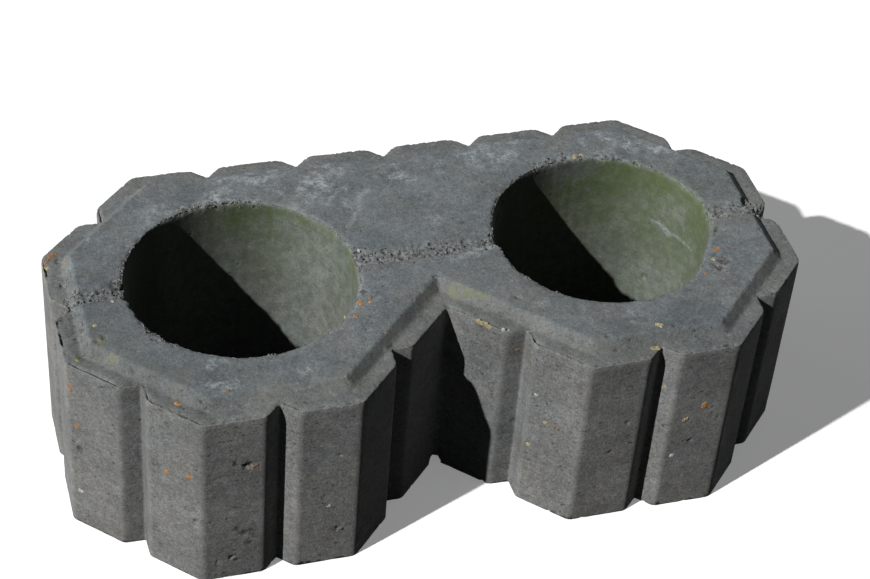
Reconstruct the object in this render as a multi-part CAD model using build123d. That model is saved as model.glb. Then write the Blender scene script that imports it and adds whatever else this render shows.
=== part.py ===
from build123d import *
import math
import os

# A double planter block, cast in one piece from dark concrete. Two eight-sided cells stand side by
# side, and a round planting well runs right through each. +X runs along the block, +Y towards its
# straight back and +Z up. The origin is in the middle of the bed face.

# Driving dimensions, in millimetres
cell_width = 300.0              # across the flats of one eight-sided cell
cell_spacing = 305.0            # between the middles of the two cells
ledge_height = 172.0            # bed face to the ledge that runs round the deck
deck_rise = 8.0                 # the deck stands this far above the ledge
ledge_width = 14.0              # flat part of the ledge
bevel_run = 8.0                 # sloped step from ledge to deck, seen from above
corner_radius = 8.0             # upright corners of the cells
notch_radius = 3.0              # upright inner corner at the bottom of the front notch

groove_width = 25.0             # mouth of an upright groove, before its shoulders are rounded
groove_depth = 12.0             # face to the root of the groove
groove_shoulder_radius = 8.0    # rounding where a groove meets the face
groove_root_radius = 1.5        # rounding at the root of a groove
back_groove_count = 5           # grooves along the straight back

wall_thickness = 57.5           # from the mouth of a well to the nearest flat face
well_taper = 4.5                # the well's radius is this much smaller at the bed face

bar_mark_width = 20.0           # channel that the core's carrier bar leaves across the deck
bar_mark_depth = 3.5            # deck to the floor of that channel

overrun = 5.0                   # how far every cutter runs past the faces that it cuts

# A cell has eight equal sides, so half a side spans a sixteenth of a full turn
half_side_angle = math.pi / 8
deck_height = ledge_height + deck_rise
well_mouth_radius = cell_width / 2 - wall_thickness
well_bed_radius = well_mouth_radius - well_taper
cell_middles = [-cell_spacing / 2, cell_spacing / 2]


def plan_corners(inset):
    """Corners of the block seen from above, with every face moved inwards by the inset.

    They run anticlockwise from the front notch. There the inner slanting faces of the two cells
    run on until they meet. The back is one straight face."""
    flat = cell_width / 2 - inset
    half_side = flat * math.tan(half_side_angle)
    middle = cell_spacing / 2
    notch = (0, middle - half_side - flat)
    right_half = [
        (middle - half_side, -flat),
        (middle + half_side, -flat),
        (middle + flat, -half_side),
        (middle + flat, half_side),
        (middle + half_side, flat),
    ]
    left_half = [(-x, y) for x, y in reversed(right_half)]
    return [notch] + right_half + left_half


def groove_places():
    """Middles of the grooves on each face in turn, as distances from the face's first corner."""
    half_side = cell_width / 2 * math.tan(half_side_angle)
    inner_face = math.sqrt(2) * (cell_spacing / 2 - half_side)
    pitch = cell_spacing / (back_groove_count - 1)
    back = [half_side + number * pitch for number in range(back_groove_count)]
    plain = [half_side]
    return [[inner_face - half_side]] + 4 * [plain] + [back] + 5 * [plain]


def grooved_outline():
    """Outline of the block below the ledge, with rounded corners and grooved faces."""
    corners = [Vector(x, y) for x, y in plan_corners(0)]
    points = []
    radii = []
    for start, end, places in zip(corners, corners[1:] + corners[:1], groove_places()):
        along = (end - start).normalized()
        inwards = along.rotate(Axis.Z, 90)
        points.append(start)
        radii.append(corner_radius)
        for place in places:
            middle = start + along * place
            points += [
                middle - along * (groove_width / 2),
                middle + inwards * groove_depth,
                middle + along * (groove_width / 2),
            ]
            radii += [groove_shoulder_radius, groove_root_radius, groove_shoulder_radius]
    radii[0] = notch_radius
    return make_face(FilletPolyline(*points, radius=radii, close=True))


def deck_outline(inset, height):
    """Plain outline of the raised deck at one height."""
    return Pos(0, 0, height) * make_face(Polyline(*plan_corners(inset), close=True))


def well_cutter(middle):
    """Tapered planting well, narrower at the bed face, running past both faces."""
    slope = well_taper / deck_height
    profile = Polyline(
        (0, -overrun),
        (well_bed_radius - slope * overrun, -overrun),
        (well_mouth_radius + slope * overrun, deck_height + overrun),
        (0, deck_height + overrun),
        close=True,
    )
    return Pos(middle, 0, 0) * revolve(make_face(Plane.XZ * profile), Axis.Z)


def bar_mark_cutter():
    """Shallow channel along the middle of the deck, from one end of the block to the other."""
    return Pos(0, 0, deck_height - bar_mark_depth) * Box(
        cell_spacing + cell_width + 2 * overrun,
        bar_mark_width,
        bar_mark_depth + overrun,
        align=(Align.CENTER, Align.CENTER, Align.MIN),
    )


def planter_block():
    """The whole casting: grooved body, bevelled deck, wells and the mark of the carrier bar."""
    body = extrude(grooved_outline(), amount=ledge_height)
    deck = loft(
        [
            deck_outline(ledge_width, ledge_height),
            deck_outline(ledge_width + bevel_run, deck_height),
        ],
        ruled=True,
    )
    casting = body + deck
    for middle in cell_middles:
        casting -= well_cutter(middle)
    return casting - bar_mark_cutter()


os.makedirs("parts", exist_ok=True)
block = planter_block()
export_step(block, "parts/planter_block.step")
print("planter_block", round(block.volume), "cubic mm,", block.bounding_box().size)
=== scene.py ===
# %% [markdown]
# A weathered double planter block.
# The real block is one casting of dark concrete that has stood outdoors for years. The exact casting comes
# from the CAD frame. Here a copy of it gets the wear that the real one shows, a layered concrete finish,
# and plain studio light.

# %% Load the exact casting
import math

import bmesh
import bpy
import numpy as np
from mathutils import Matrix, Quaternion, Vector, noise
from mathutils.bvhtree import BVHTree
from mathutils.kdtree import KDTree


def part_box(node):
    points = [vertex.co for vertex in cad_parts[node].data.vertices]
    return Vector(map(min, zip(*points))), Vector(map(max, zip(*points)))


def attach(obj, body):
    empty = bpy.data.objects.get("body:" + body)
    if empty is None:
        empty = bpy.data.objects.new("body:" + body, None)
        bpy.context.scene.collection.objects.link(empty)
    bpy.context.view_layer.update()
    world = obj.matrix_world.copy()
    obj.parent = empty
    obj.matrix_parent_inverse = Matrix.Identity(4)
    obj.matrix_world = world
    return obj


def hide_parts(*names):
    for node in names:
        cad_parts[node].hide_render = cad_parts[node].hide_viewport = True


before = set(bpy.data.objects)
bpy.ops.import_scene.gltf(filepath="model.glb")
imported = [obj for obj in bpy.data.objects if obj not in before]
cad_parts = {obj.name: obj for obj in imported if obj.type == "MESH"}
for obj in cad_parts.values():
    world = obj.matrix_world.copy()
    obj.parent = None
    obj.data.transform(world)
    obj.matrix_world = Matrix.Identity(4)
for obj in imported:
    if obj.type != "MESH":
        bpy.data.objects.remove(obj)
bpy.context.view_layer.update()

MM = 0.001
low_corner, high_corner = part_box("planter_block")
block_size = (high_corner - low_corner) / MM
cell_width = block_size.y
cell_spacing = block_size.x - block_size.y
deck_height = block_size.z
print("block size in mm:", [round(side, 1) for side in block_size])

# %% [markdown]
# The camera comes first, because marks on the real block are easiest to place by where the picture shows
# them. The viewing angle was worked out from the corners of the block. A long lens keeps its upright edges
# nearly parallel, and the camera was held a little crooked, so it has some roll.

# %% Camera at the picture's viewing angle
PICTURE_WIDTH, PICTURE_HEIGHT = 870, 579
camera_aim = Vector((26.9, 51.1, 90.0)) * MM
camera_distance = 1880.8 * MM
camera_azimuth, camera_elevation, camera_roll = (math.radians(a) for a in (-18.99, 41.24, 4.92))


def put(name, data):
    """Puts a new object with this data into the scene."""
    made = bpy.data.objects.new(name, data)
    bpy.context.scene.collection.objects.link(made)
    return made


camera_data = bpy.data.cameras.new("picture_camera")
camera_data.lens = 91.2
camera_data.sensor_width = 36.0
camera = put("picture_camera", camera_data)
bpy.context.scene.camera = camera

looking = Vector((
    -math.sin(camera_azimuth) * math.cos(camera_elevation),
    math.cos(camera_azimuth) * math.cos(camera_elevation),
    -math.sin(camera_elevation),
))
camera_turn = looking.to_track_quat("-Z", "Y") @ Quaternion((0, 0, 1), camera_roll)
camera.matrix_world = Matrix.LocRotScale(camera_aim - looking * camera_distance, camera_turn, None)
print("camera stands at", [round(value, 3) for value in camera.location])

# %% [markdown]
# A ray from the camera through a picture point lands on the casting. That gives the real place of a chip or
# a patch of lichen, so each mark sits on the concrete when the block is seen from any side. The bar that held
# the cores lay a little behind the middle, so the front wall of its channel is first moved back.

# %% Find the place on the casting under a picture point
casting = bmesh.new()
casting.from_mesh(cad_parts["planter_block"].data)
bmesh.ops.remove_doubles(casting, verts=casting.verts, dist=0.01 * MM)
# The channel in the exact casting: half its width, and its depth. Then its walls here. All in mm.
BAR_PLAN, BAR_DEPTH = 10.0, 3.5
BAR_FRONT, BAR_BACK = -5.5, 10.0
SLACK = 0.2
for corner in casting.verts:
    across = corner.co.y / MM
    if corner.co.z > (deck_height - BAR_DEPTH - SLACK) * MM and abs(across) < BAR_PLAN + SLACK:
        share = (across + BAR_PLAN) / (2 * BAR_PLAN)
        corner.co.y = (BAR_FRONT + (BAR_BACK - BAR_FRONT) * share) * MM
casting_tree = BVHTree.FromBMesh(casting)
pixels_per_unit = camera_data.lens / camera_data.sensor_width * PICTURE_WIDTH


def touch(pixel, tree=casting_tree):
    """Place in mm and outward direction of the surface that shows at a picture point."""
    x = (pixel[0] - PICTURE_WIDTH / 2) / pixels_per_unit
    y = (PICTURE_HEIGHT / 2 - pixel[1]) / pixels_per_unit
    ray = camera_turn @ Vector((x, y, -1))
    place, outward, _, _ = tree.ray_cast(camera.location, ray)
    return place / MM, outward


print("middle of the picture lands at", [round(value) for value in touch((435, 290))[0]])

# %% [markdown]
# Worn concrete needs a dense, even skin. The Remesh modifier in its sharp mode gives that and keeps the crisp
# edges of the casting. The wear is then worked out point by point, in millimetres.

# %% Dense copy of the casting
plain_mesh = bpy.data.meshes.new("plain_casting")
casting.to_mesh(plain_mesh)
block = put("weathered_block", plain_mesh)


def bake_modifier(piece, kind, **settings):
    """Adds one modifier, keeps its result as the piece's own mesh and takes the modifier off."""
    step = piece.modifiers.new(kind.lower(), kind)
    for name, value in settings.items():
        setattr(step, name, value)
    graph = bpy.context.evaluated_depsgraph_get()
    result = bpy.data.meshes.new_from_object(piece.evaluated_get(graph))
    piece.modifiers.clear()
    piece.data = result


def read_skin(piece):
    """Places in mm and outward directions of all points of a piece."""
    count = len(piece.data.vertices)
    places, outwards = np.empty(count * 3), np.empty(count * 3)
    piece.data.vertices.foreach_get("co", places)
    piece.data.vertices.foreach_get("normal", outwards)
    return places.reshape(-1, 3) / MM, outwards.reshape(-1, 3)


def write_skin(piece, points):
    """Moves all points of a piece to these places in mm."""
    piece.data.vertices.foreach_set("co", (points * MM).ravel())
    piece.data.update()


bake_modifier(block, "REMESH", mode="SHARP", octree_depth=9, scale=0.95, sharpness=1.0,
              use_remove_disconnected=False)
places, outwards = read_skin(block)
print("dense skin:", len(places), "points")

# %% [markdown]
# The zones of the block: the deck and ledge that face up, the upright sides with their rounded corners and
# groove flanks, the walls of the wells, and the rough channel under the bar that held the cores. Each is a
# number from 0 to 1 at every point, worked out from the shape alone.

# %% Zones
WALL_THICKNESS, DECK_RISE = 57.5, 8.0
WELL_RADIUS = cell_width / 2 - WALL_THICKNESS
LEDGE_HEIGHT = deck_height - DECK_RISE
BAR_MIDDLE = (BAR_FRONT + BAR_BACK) / 2
BAR_HALF_WIDTH = (BAR_BACK - BAR_FRONT) / 2


def ramp(values, start, end):
    """Smooth step from 0 at the start to 1 at the end."""
    t = np.clip((values - start) / (end - start), 0, 1)
    return t * t * (3 - 2 * t)


def soft_noise(points, size, shift=0.0):
    """Soft random values, mostly from -0.7 to 0.7, that change over the given size in mm."""
    return np.array([noise.noise(point) for point in (points / size + shift).tolist()])


def well_distance(points):
    """Distance in mm from the axis of the nearer well."""
    return np.hypot(np.abs(points[:, 0]) - cell_spacing / 2, points[:, 1])


def zone_of(points, directions):
    """The zones of the block, each from 0 to 1."""
    facing_up = ramp(directions[:, 2], 0.35, 0.6)
    in_well = ramp(-well_distance(points), -WELL_RADIUS - 2.5, -WELL_RADIUS - 0.5) * (1 - facing_up)
    side = (1 - np.abs(directions[:, 2])) * (1 - in_well)
    ragged = BAR_HALF_WIDTH + 0.5 + 3.0 * soft_noise(points, 9.0, 3.1)
    bar = ramp(-np.abs(points[:, 1] - BAR_MIDDLE), -ragged - 1.5, -ragged + 1.5)
    bar = bar * ramp(points[:, 2], LEDGE_HEIGHT - 3, LEDGE_HEIGHT + 1) * (1 - in_well)
    turn = np.degrees(np.arctan2(directions[:, 1], directions[:, 0]))
    off_flat = np.abs(turn - 45 * np.round(turn / 45))
    return {"facing_up": facing_up, "in_well": in_well, "side": side, "bar_mark": bar,
            "rounded": side * ramp(off_flat, 1.5, 4.0)}


zones = zone_of(places, outwards)
print("share of skin:", {name: round(float(zone.mean()), 3) for name, zone in zones.items()})

# %% [markdown]
# Wear starts at the outward edges. They are read from the exact casting and stepped along, and a search tree
# then tells how far any point of the skin is from the nearest one. Rims and the edges of the bar's channel
# crumbled most, the ledge less, and the edges of deck and bed least.

# %% Outward edges of the casting
EDGE_STEP = 1.0
SHARP = math.radians(25)
edge_places, edge_outwards = [], []
for edge in casting.edges:
    if len(edge.link_faces) == 2 and edge.calc_face_angle_signed(0) > SHARP:
        start, end = (corner.co / MM for corner in edge.verts)
        outward = (edge.link_faces[0].normal + edge.link_faces[1].normal).normalized()
        steps = max(1, round((end - start).length / EDGE_STEP))
        for step in range(steps):
            edge_places.append(start.lerp(end, step / steps))
            edge_outwards.append(outward)


def search_tree(numbers):
    """A search tree of some of the edge places, by their numbers."""
    found = KDTree(len(numbers))
    for number in numbers:
        found.insert(edge_places[number], number)
    found.balance()
    return found


edge_tree = search_tree(range(len(edge_places)))
print("edge places:", len(edge_places))

# %% How worn each edge is
edge_array = np.array(edge_places)
on_deck = edge_array[:, 2] > LEDGE_HEIGHT + 1
at_well = np.abs(well_distance(edge_array) - WELL_RADIUS) < 5
at_bar = np.abs(edge_array[:, 1] - BAR_MIDDLE) < BAR_HALF_WIDTH + 1
edge_runs = {
    "rim": on_deck & at_well,
    "bar": on_deck & at_bar & ~at_well,
    "deck": on_deck & ~at_bar & ~at_well,
    "ledge": np.abs(edge_array[:, 2] - LEDGE_HEIGHT) < 1,
    "bed": edge_array[:, 2] < 1,
}
edge_wear = {"rim": 1.0, "bar": 0.4, "deck": 0.12, "ledge": 0.2, "bed": 0.08}
wear_at = np.zeros(len(edge_array))
for name, chosen in edge_runs.items():
    wear_at[chosen] = edge_wear[name]


def near_edge(points, reach):
    """Closeness to an edge, from 0 at the reach in mm to 1 on it, and how worn that edge is."""
    found = [edge_tree.find(point) for point in points.tolist()]
    distance = np.array([hit[2] for hit in found])
    return np.clip(1 - distance / reach, 0, 1), wear_at[[hit[1] for hit in found]]


print("edges in mm:", {name: int(chosen.sum()) for name, chosen in edge_runs.items()})

# %% [markdown]
# Concrete crept into the joint of the mould, so parts of the ledge's outer edge carry a thin raised fin with
# a crevice behind it. They are only a millimetre or two in size, but the crevice shows as a fine dark line,
# which the material deepens with painted shade.

# %% Fins and crevices along the ledge
FIN_HEIGHT, CREVICE_DEPTH, CREVICE_INSET = 1.0, 2.2, 2.2
LEAKY_SIDE = np.array((-0.8, -0.6, 0))
ledge_tree = search_tree(np.flatnonzero(edge_runs["ledge"]).tolist())


def mould_joint(points):
    """Height of the fin and depth of the crevice at points on the ledge, in mm."""
    fin, crevice = np.zeros(len(points)), np.zeros(len(points))
    near = np.flatnonzero(np.abs(points[:, 2] - LEDGE_HEIGHT) < 3)
    found = [ledge_tree.find(point) for point in points[near].tolist()]
    from_edge = np.array([hit[2] for hit in found])
    leaky = np.array(edge_outwards)[[hit[1] for hit in found]] @ LEAKY_SIDE
    patches = soft_noise(points[near], 20.0, 3.3) + 0.6 * soft_noise(points[near], 5.0, 8.8)
    leak = ramp(leaky, 0.15, 0.5) * np.clip(0.45 + 1.8 * patches, 0, 1)
    fin[near] = FIN_HEIGHT * leak * ramp(-from_edge, -1.5, -0.2)
    crevice[near] = CREVICE_DEPTH * leak * ramp(-np.abs(from_edge - CREVICE_INSET), -1.5, -0.5)
    return fin, crevice


on_ledge = np.flatnonzero(np.abs(places[:, 2] - LEDGE_HEIGHT) < 0.4)
fin, crevice = mould_joint(places[on_ledge])
places[on_ledge, 2] += fin - crevice
print("highest fin in mm:", round(float(fin.max()), 2))
print("deepest crevice in mm:", round(float(crevice.max()), 2))

# %% [markdown]
# The channel under the bar has no clean walls. Its sides slumped, so they are sheared to ragged slopes.

# %% Slumped sides of the bar's channel
SLUMP_REACH, FLOOR_SLACK = 6.0, 0.3
across = places[:, 1] - BAR_MIDDLE
slumped = np.flatnonzero((np.abs(across) < BAR_HALF_WIDTH + SLUMP_REACH)
                         & (places[:, 2] > deck_height - BAR_DEPTH - FLOOR_SLACK))
from_wall = np.abs(np.abs(across[slumped]) - BAR_HALF_WIDTH)
up_the_wall = np.clip((places[slumped, 2] - deck_height + BAR_DEPTH) / BAR_DEPTH, 0, 1)
slump = 1.6 + 1.8 * soft_noise(places[slumped], 9.0, 6.6)
slump *= (2 * up_the_wall - 1) * np.clip(1 - from_wall / SLUMP_REACH, 0, 1)
places[slumped, 1] += np.sign(across[slumped]) * slump
print("widest slump:", round(float(np.abs(slump).max()), 1), "mm")

# %% [markdown]
# A chip is a shallow scoop. It is made by pushing the skin back to the wall of a ball that stands mostly
# outside the edge. Small chips follow the edges at random. The larger ones are where the picture shows them.

# %% Chips along the edges
random_draw = np.random.default_rng(11)
# A chip goes no deeper than this share of its ball's radius, and no ball is smaller than this, in mm
DEEPEST_SHARE, SMALLEST_CHIP = 0.6, 1.6


def carve(middle, radius):
    """Pushes the skin back to the wall of a ball."""
    offset = places - middle
    reach = np.einsum("ij,ij->i", offset, offset)
    inside = np.flatnonzero(reach < radius * radius)
    along = np.einsum("ij,ij->i", offset[inside], outwards[inside])
    push = along + np.sqrt(along * along + radius * radius - reach[inside])
    places[inside] -= outwards[inside] * np.minimum(push, DEEPEST_SHARE * radius)[:, None]


def chip_edge(number, radius, sink):
    """One chip at a numbered edge place. The sink is the share of the ball that is below the edge."""
    carve(np.array(edge_places[number] + edge_outwards[number] * radius * (1 - 2 * sink)), radius)


uncut = places.copy()
chip_runs = {
    # how many chips, typical and largest radius in mm
    "rim": (110, 0.8, 4.0),
    "bar": (40, 0.8, 3.5),
    "deck": (60, 0.6, 2.8),
    "ledge": (100, 0.4, 2.4),
    "bed": (40, 0.6, 2.5),
}
for name, (count, typical, largest) in chip_runs.items():
    for number in random_draw.choice(np.flatnonzero(edge_runs[name]), count):
        radius = min(SMALLEST_CHIP + random_draw.exponential(typical), largest)
        chip_edge(number, radius, random_draw.uniform(0.1, 0.25))
print("chips:", sum(run[0] for run in chip_runs.values()))

# %% Larger chips that the picture shows
picture_chips = [
    # picture point (x, y), radius in mm, share that is sunk
    (187, 208, 7, 0.16), (200, 206, 6, 0.18), (217, 203, 6, 0.18), (228, 202, 9, 0.16), (252, 204, 8, 0.16),
    (280, 206, 6, 0.14), (146, 326, 9, 0.16), (151, 331, 6, 0.2), (165, 338, 8, 0.16), (119, 289, 11, 0.18),
    (119, 297, 11, 0.18), (493, 235, 9, 0.16), (494, 242, 9, 0.16), (360, 256, 9, 0.16), (550, 160, 8, 0.15),
    (562, 157, 6, 0.16), (601, 157, 8, 0.18), (606, 158, 5, 0.2), (636, 163, 7, 0.16), (437, 273, 6, 0.12),
    (752, 203, 8, 0.22), (757, 209, 8, 0.22), (375, 416, 5, 0.12), (280, 402, 5, 0.12), (504, 193, 4, 0.2),
    (499, 199, 5, 0.2), (496, 207, 4, 0.22), (494, 215, 5, 0.2), (493, 224, 5, 0.2), (508, 257, 4, 0.2),
    (516, 266, 5, 0.18), (535, 279, 4, 0.2), (131, 306, 5, 0.2), (138, 316, 4, 0.2),
]
for *pixel, radius, sink in picture_chips:
    chip_edge(edge_tree.find(touch(pixel)[0])[1], radius, sink)

# The foot of the front notch has lost its corner
LOST_CORNER_SHIFT, LOST_CORNER_RADIUS = (0, 4, 0), 9.0
notch_feet = [place for place in edge_places if place.z < 1 and abs(place.x) < 4 and place.y < 0]
notch_foot = max(notch_feet, key=lambda place: place.y)
carve(np.array(notch_foot) + LOST_CORNER_SHIFT, LOST_CORNER_RADIUS)
lost_to_chips = np.linalg.norm(places - uncut, axis=1)
print("larger chips:", len(picture_chips) + 1, "deepest", round(float(lost_to_chips.max()), 1), "mm")

# %% [markdown]
# Where the casting lost its fines there are round pits. Blender's Voronoi noise scatters their middles, one
# to each cell, and a second random number leaves most cells out and sets the size of the rest.

# %% Pits
def pit_depth(points, spacing, share, largest, shift):
    """1 in the middle of a pit, 0 outside, for pits of up to the largest radius in mm."""
    depths = []
    for point in (points / spacing + shift).tolist():
        distances, middles = noise.voronoi(point)
        chance = abs(noise.cell(middles[0] * 7.3))
        radius = largest / spacing * max(0.0, 1 - chance / share)
        depths.append(max(0.0, 1 - distances[0] / radius) if radius > 0 else 0.0)
    return np.sqrt(np.array(depths))


side_pits = pit_depth(places, 10.0, 0.14, 2.2, 0.0)
loose_pits = pit_depth(places, 4.5, 0.6, 2.6, 4.0)
print("skin in pits:", round(float((side_pits > 0).mean()), 3))

# %% [markdown]
# In some places the paste is gone and bare rubble shows: all along the bar's channel, and on stretches of the
# rims. Those stretches are soft blobs at picture points, and the same kind of blob is used for stains later.

# %% Rubble
picture_rubble = [
    # picture point, radius in mm
    (183, 210, 9), (193, 207, 10), (204, 205, 11), (216, 203, 11), (228, 202, 11), (240, 203, 9),
    (254, 204, 9), (146, 326, 9), (152, 333, 9), (163, 338, 10), (175, 343, 7), (119, 286, 12),
    (119, 297, 10), (124, 270, 9), (125, 260, 8), (130, 247, 7), (494, 236, 11), (497, 246, 9),
    (497, 217, 8), (503, 200, 7), (360, 254, 11), (357, 270, 7), (536, 166, 9), (550, 160, 10),
    (562, 157, 9), (577, 158, 7), (601, 157, 9), (615, 158, 7), (636, 163, 8), (650, 166, 6), (730, 262, 8),
    (725, 269, 8), (757, 207, 9), (748, 203, 8), (60, 318, 6), (66, 302, 8), (78, 296, 9), (62, 285, 8),
    (70, 312, 8), (206, 350, 6), (232, 352, 5), (270, 355, 5), (530, 277, 5), (560, 292, 5),
]


def stain(points, spots):
    """1 in the middle of soft blobs at picture points, each with its radius in mm."""
    amount = np.zeros(len(points))
    for *pixel, radius in spots:
        distance = np.linalg.norm(points - np.array(touch(pixel)[0]), axis=1)
        amount = np.maximum(amount, ramp(-distance, -radius, 0))
    return amount


def rubble_at(points, bar):
    """How much bare rubble shows, from 0 to 1, with ragged outlines."""
    torn_outline = stain(points, picture_rubble) * (1.3 + 1.6 * soft_noise(points, 5.0, 7.7))
    in_channel = bar * (1.0 + 0.6 * soft_noise(points, 12.0, 2.2))
    return np.clip(np.maximum(in_channel, torn_outline), 0, 1)


rubble = rubble_at(places, zone_of(places, outwards)["bar_mark"])
print("skin with rubble:", round(float((rubble > 0.5).mean()), 3))

# %% [markdown]
# The skin itself is never flat. It swells a little, crumbs are missing along the edges, broken places are
# rough, and the channel under the bar stayed loose because nothing pressed it. All of this is a push along
# the outward direction. Finer grain than this is left to the material.

# %% Relief of the skin
RIM_ROUNDING, LEDGE_ROUNDING, CORNER_ROUNDING = 1.1, 0.5, 0.9
CRUMBLE_REACH, MOST_RAISED = 5.0, 0.6
side = zones["side"]
closeness, wear = near_edge(places, CRUMBLE_REACH)
broken = ramp(lost_to_chips, 0.3, 1.4)
seen = 1 - 0.7 * ramp(-outwards[:, 2], 0.5, 0.9)

swell = 0.2 * soft_noise(places, 46.0) + 0.07 * soft_noise(places, 15.0, 5.0)
rough = 0.07 * soft_noise(places, 6.0, 1.7)
crumbs = np.clip(soft_noise(places, 6.0, 4.4), 0, 1) + 0.6 * np.clip(soft_noise(places, 3.0, 7.1), 0, 1)
stretches = 0.75 + 0.95 * ramp(soft_noise(places, 32.0, 6.2), -0.1, 0.3)
crumble = wear * closeness ** 1.5 * stretches * (0.25 + 2.2 * crumbs)
rounding = np.where(wear == edge_wear["rim"], RIM_ROUNDING, 0.0)
at_ledge = np.abs(places[:, 2] - LEDGE_HEIGHT) < 6
rounding = np.where(at_ledge, LEDGE_ROUNDING + CORNER_ROUNDING * zones["rounded"], rounding)
crumble += rounding * closeness ** 2
torn = broken * (0.6 * soft_noise(places, 3.4, 2.9) + 0.4 * soft_noise(places, 2.0, 5.3))
loose = rubble * (0.5 * soft_noise(places, 8.0, 6.1) + 1.1 * soft_noise(places, 3.2, 9.4))
holes = side_pits * (0.1 + 0.9 * side * (1 - 0.8 * zones["rounded"])) + 1.9 * rubble * loose_pits

push = seen * (swell + rough) + torn + loose - crumble - holes
places += outwards * np.minimum(push, MOST_RAISED)[:, None]
places[:, 2] = np.clip(places[:, 2], 0, deck_height + 0.5)
print("push in mm from", round(float(push.min()), 2), "to", round(float(push.max()), 2))

# %% [markdown]
# Some faces carry scars: spots where the surface tore off as the mould came away, or was knocked later. Each
# is a shallow, rough hollow at its place in the picture.

# %% Scars on the faces
picture_scars = [
    # picture point, radius and depth in mm
    (237, 529, 2.8, 0.4), (244, 533, 3.2, 0.5), (251, 530, 3.0, 0.5), (254, 536, 2.4, 0.4),
    (250, 543, 2.4, 0.4), (80, 450, 4.0, 1.0), (246, 466, 2.8, 1.9), (251, 464, 2.2, 1.4),
    (236, 465, 2.4, 0.7), (195, 521, 2.4, 1.4), (231, 557, 2.2, 1.2), (238, 560, 2.0, 1.0),
    (723, 229, 3.4, 2.4), (722, 233, 2.2, 1.4), (730, 262, 4.0, 1.2), (725, 269, 3.6, 1.0),
    (364, 291, 3.6, 1.0), (345, 241, 2.0, 1.2), (518, 297, 2.2, 1.4), (608, 336, 2.4, 1.2),
    (674, 325, 2.2, 1.0), (644, 276, 3.0, 1.5), (610, 452, 2.2, 0.8), (640, 470, 2.2, 0.8),
    (690, 440, 2.2, 0.8), (337, 528, 2.2, 0.9), (343, 530, 2.0, 0.7), (104, 338, 2.4, 1.6),
    (97, 341, 2.0, 1.0), (150, 332, 3.0, 1.4), (154, 339, 2.6, 1.2), (60, 318, 4.0, 1.2),
]
scar_spots = [(np.array(touch(pixel)[0]), radius, depth) for *pixel, radius, depth in picture_scars]


def scar_depth(points):
    """Depth in mm of the scars at every point, with torn edges."""
    depth = np.zeros(len(points))
    for middle, radius, deepest in scar_spots:
        distance = np.linalg.norm(points - middle, axis=1)
        near = np.flatnonzero(distance < 1.6 * radius)
        torn_edge = distance[near] / radius + 0.8 * soft_noise(points[near], radius / 1.8, 2.7)
        depth[near] = np.maximum(depth[near], deepest * ramp(-torn_edge, -1.0, -0.55))
    return depth


places -= outwards * scar_depth(places)[:, None]
write_skin(block, places)
print("scars:", len(scar_spots))

# %% [markdown]
# The dense skin has far more triangles than it needs on its calm stretches. The Decimate modifier merges
# points where the surface bends least, so the chips and pits keep their shape.

# %% Thin out the calm stretches
MOST_TRIANGLES = 196000
block.data.calc_loop_triangles()
bake_modifier(block, "DECIMATE", ratio=MOST_TRIANGLES / len(block.data.loop_triangles))
block.data.name = "weathered_block"
block.data.polygons.foreach_set("use_smooth", [True] * len(block.data.polygons))
block.data.calc_loop_triangles()
places, outwards = read_skin(block)
print("triangles:", len(block.data.loop_triangles))

# %% [markdown]
# The finish needs to know where it is. Masks are written to the points of the mesh: the zones, how much
# concrete is lost, the worn edges, the stains that years outdoors left, and painted shade. A stain is a soft
# blob at its place in the picture, broken up later by noise in the material, and so is the painted shade in
# the front notch. In the wells, algae grow below the rim, and the walls carry painted shade on the sides away
# from the key light, darkest where that light never falls, and a little towards the bottom.

# %% Masks from the shape
def survey(points):
    """Outward direction of the casting nearest to each point, and the concrete lost there in mm."""
    directions = np.empty((len(points), 3))
    lost = np.empty(len(points))
    for number, point in enumerate((points * MM).tolist()):
        place, outward, _, _ = casting_tree.find_nearest(point)
        directions[number] = outward
        lost[number] = (place - Vector(point)).dot(outward) / MM
    return directions, lost


directions, lost = survey(places)
zones = zone_of(places, directions)
WORN_REACH, CHANNEL_REACH, DARK_SCAR = 6.0, 16, 0.6
closeness, wear = near_edge(places, WORN_REACH)
masks = {name: zones[name] for name in ("facing_up", "in_well", "rounded")}
by_channel = ramp(-np.abs(places[:, 1] - BAR_MIDDLE), -CHANNEL_REACH, 2 - CHANNEL_REACH)
by_channel *= ramp(places[:, 2], LEDGE_HEIGHT + 1, LEDGE_HEIGHT + 3)
masks["facing_up"] = np.maximum(masks["facing_up"], by_channel * (1 - zones["in_well"]))
masks["rubble"] = rubble_at(places, zones["bar_mark"])
masks["worn_edge"] = closeness * (0.4 + 0.25 * wear)
masks["step"] = zones["facing_up"] * ramp(-places[:, 2], -deck_height + 0.6, -deck_height + 2.0)
masks["step"] *= 1 - zones["bar_mark"]
masks["broken"] = ramp(lost, 0.45, 1.7)
masks["scarred"] = np.clip(scar_depth(places) / DARK_SCAR, 0, 1)
# This mask also says where the material lays painted shade in the crevice.
masks["crevice"] = zones["facing_up"] * np.clip(mould_joint(places)[1] / CREVICE_DEPTH, 0, 1)
print("most concrete lost:", round(float(lost.max()), 1), "mm")
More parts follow.
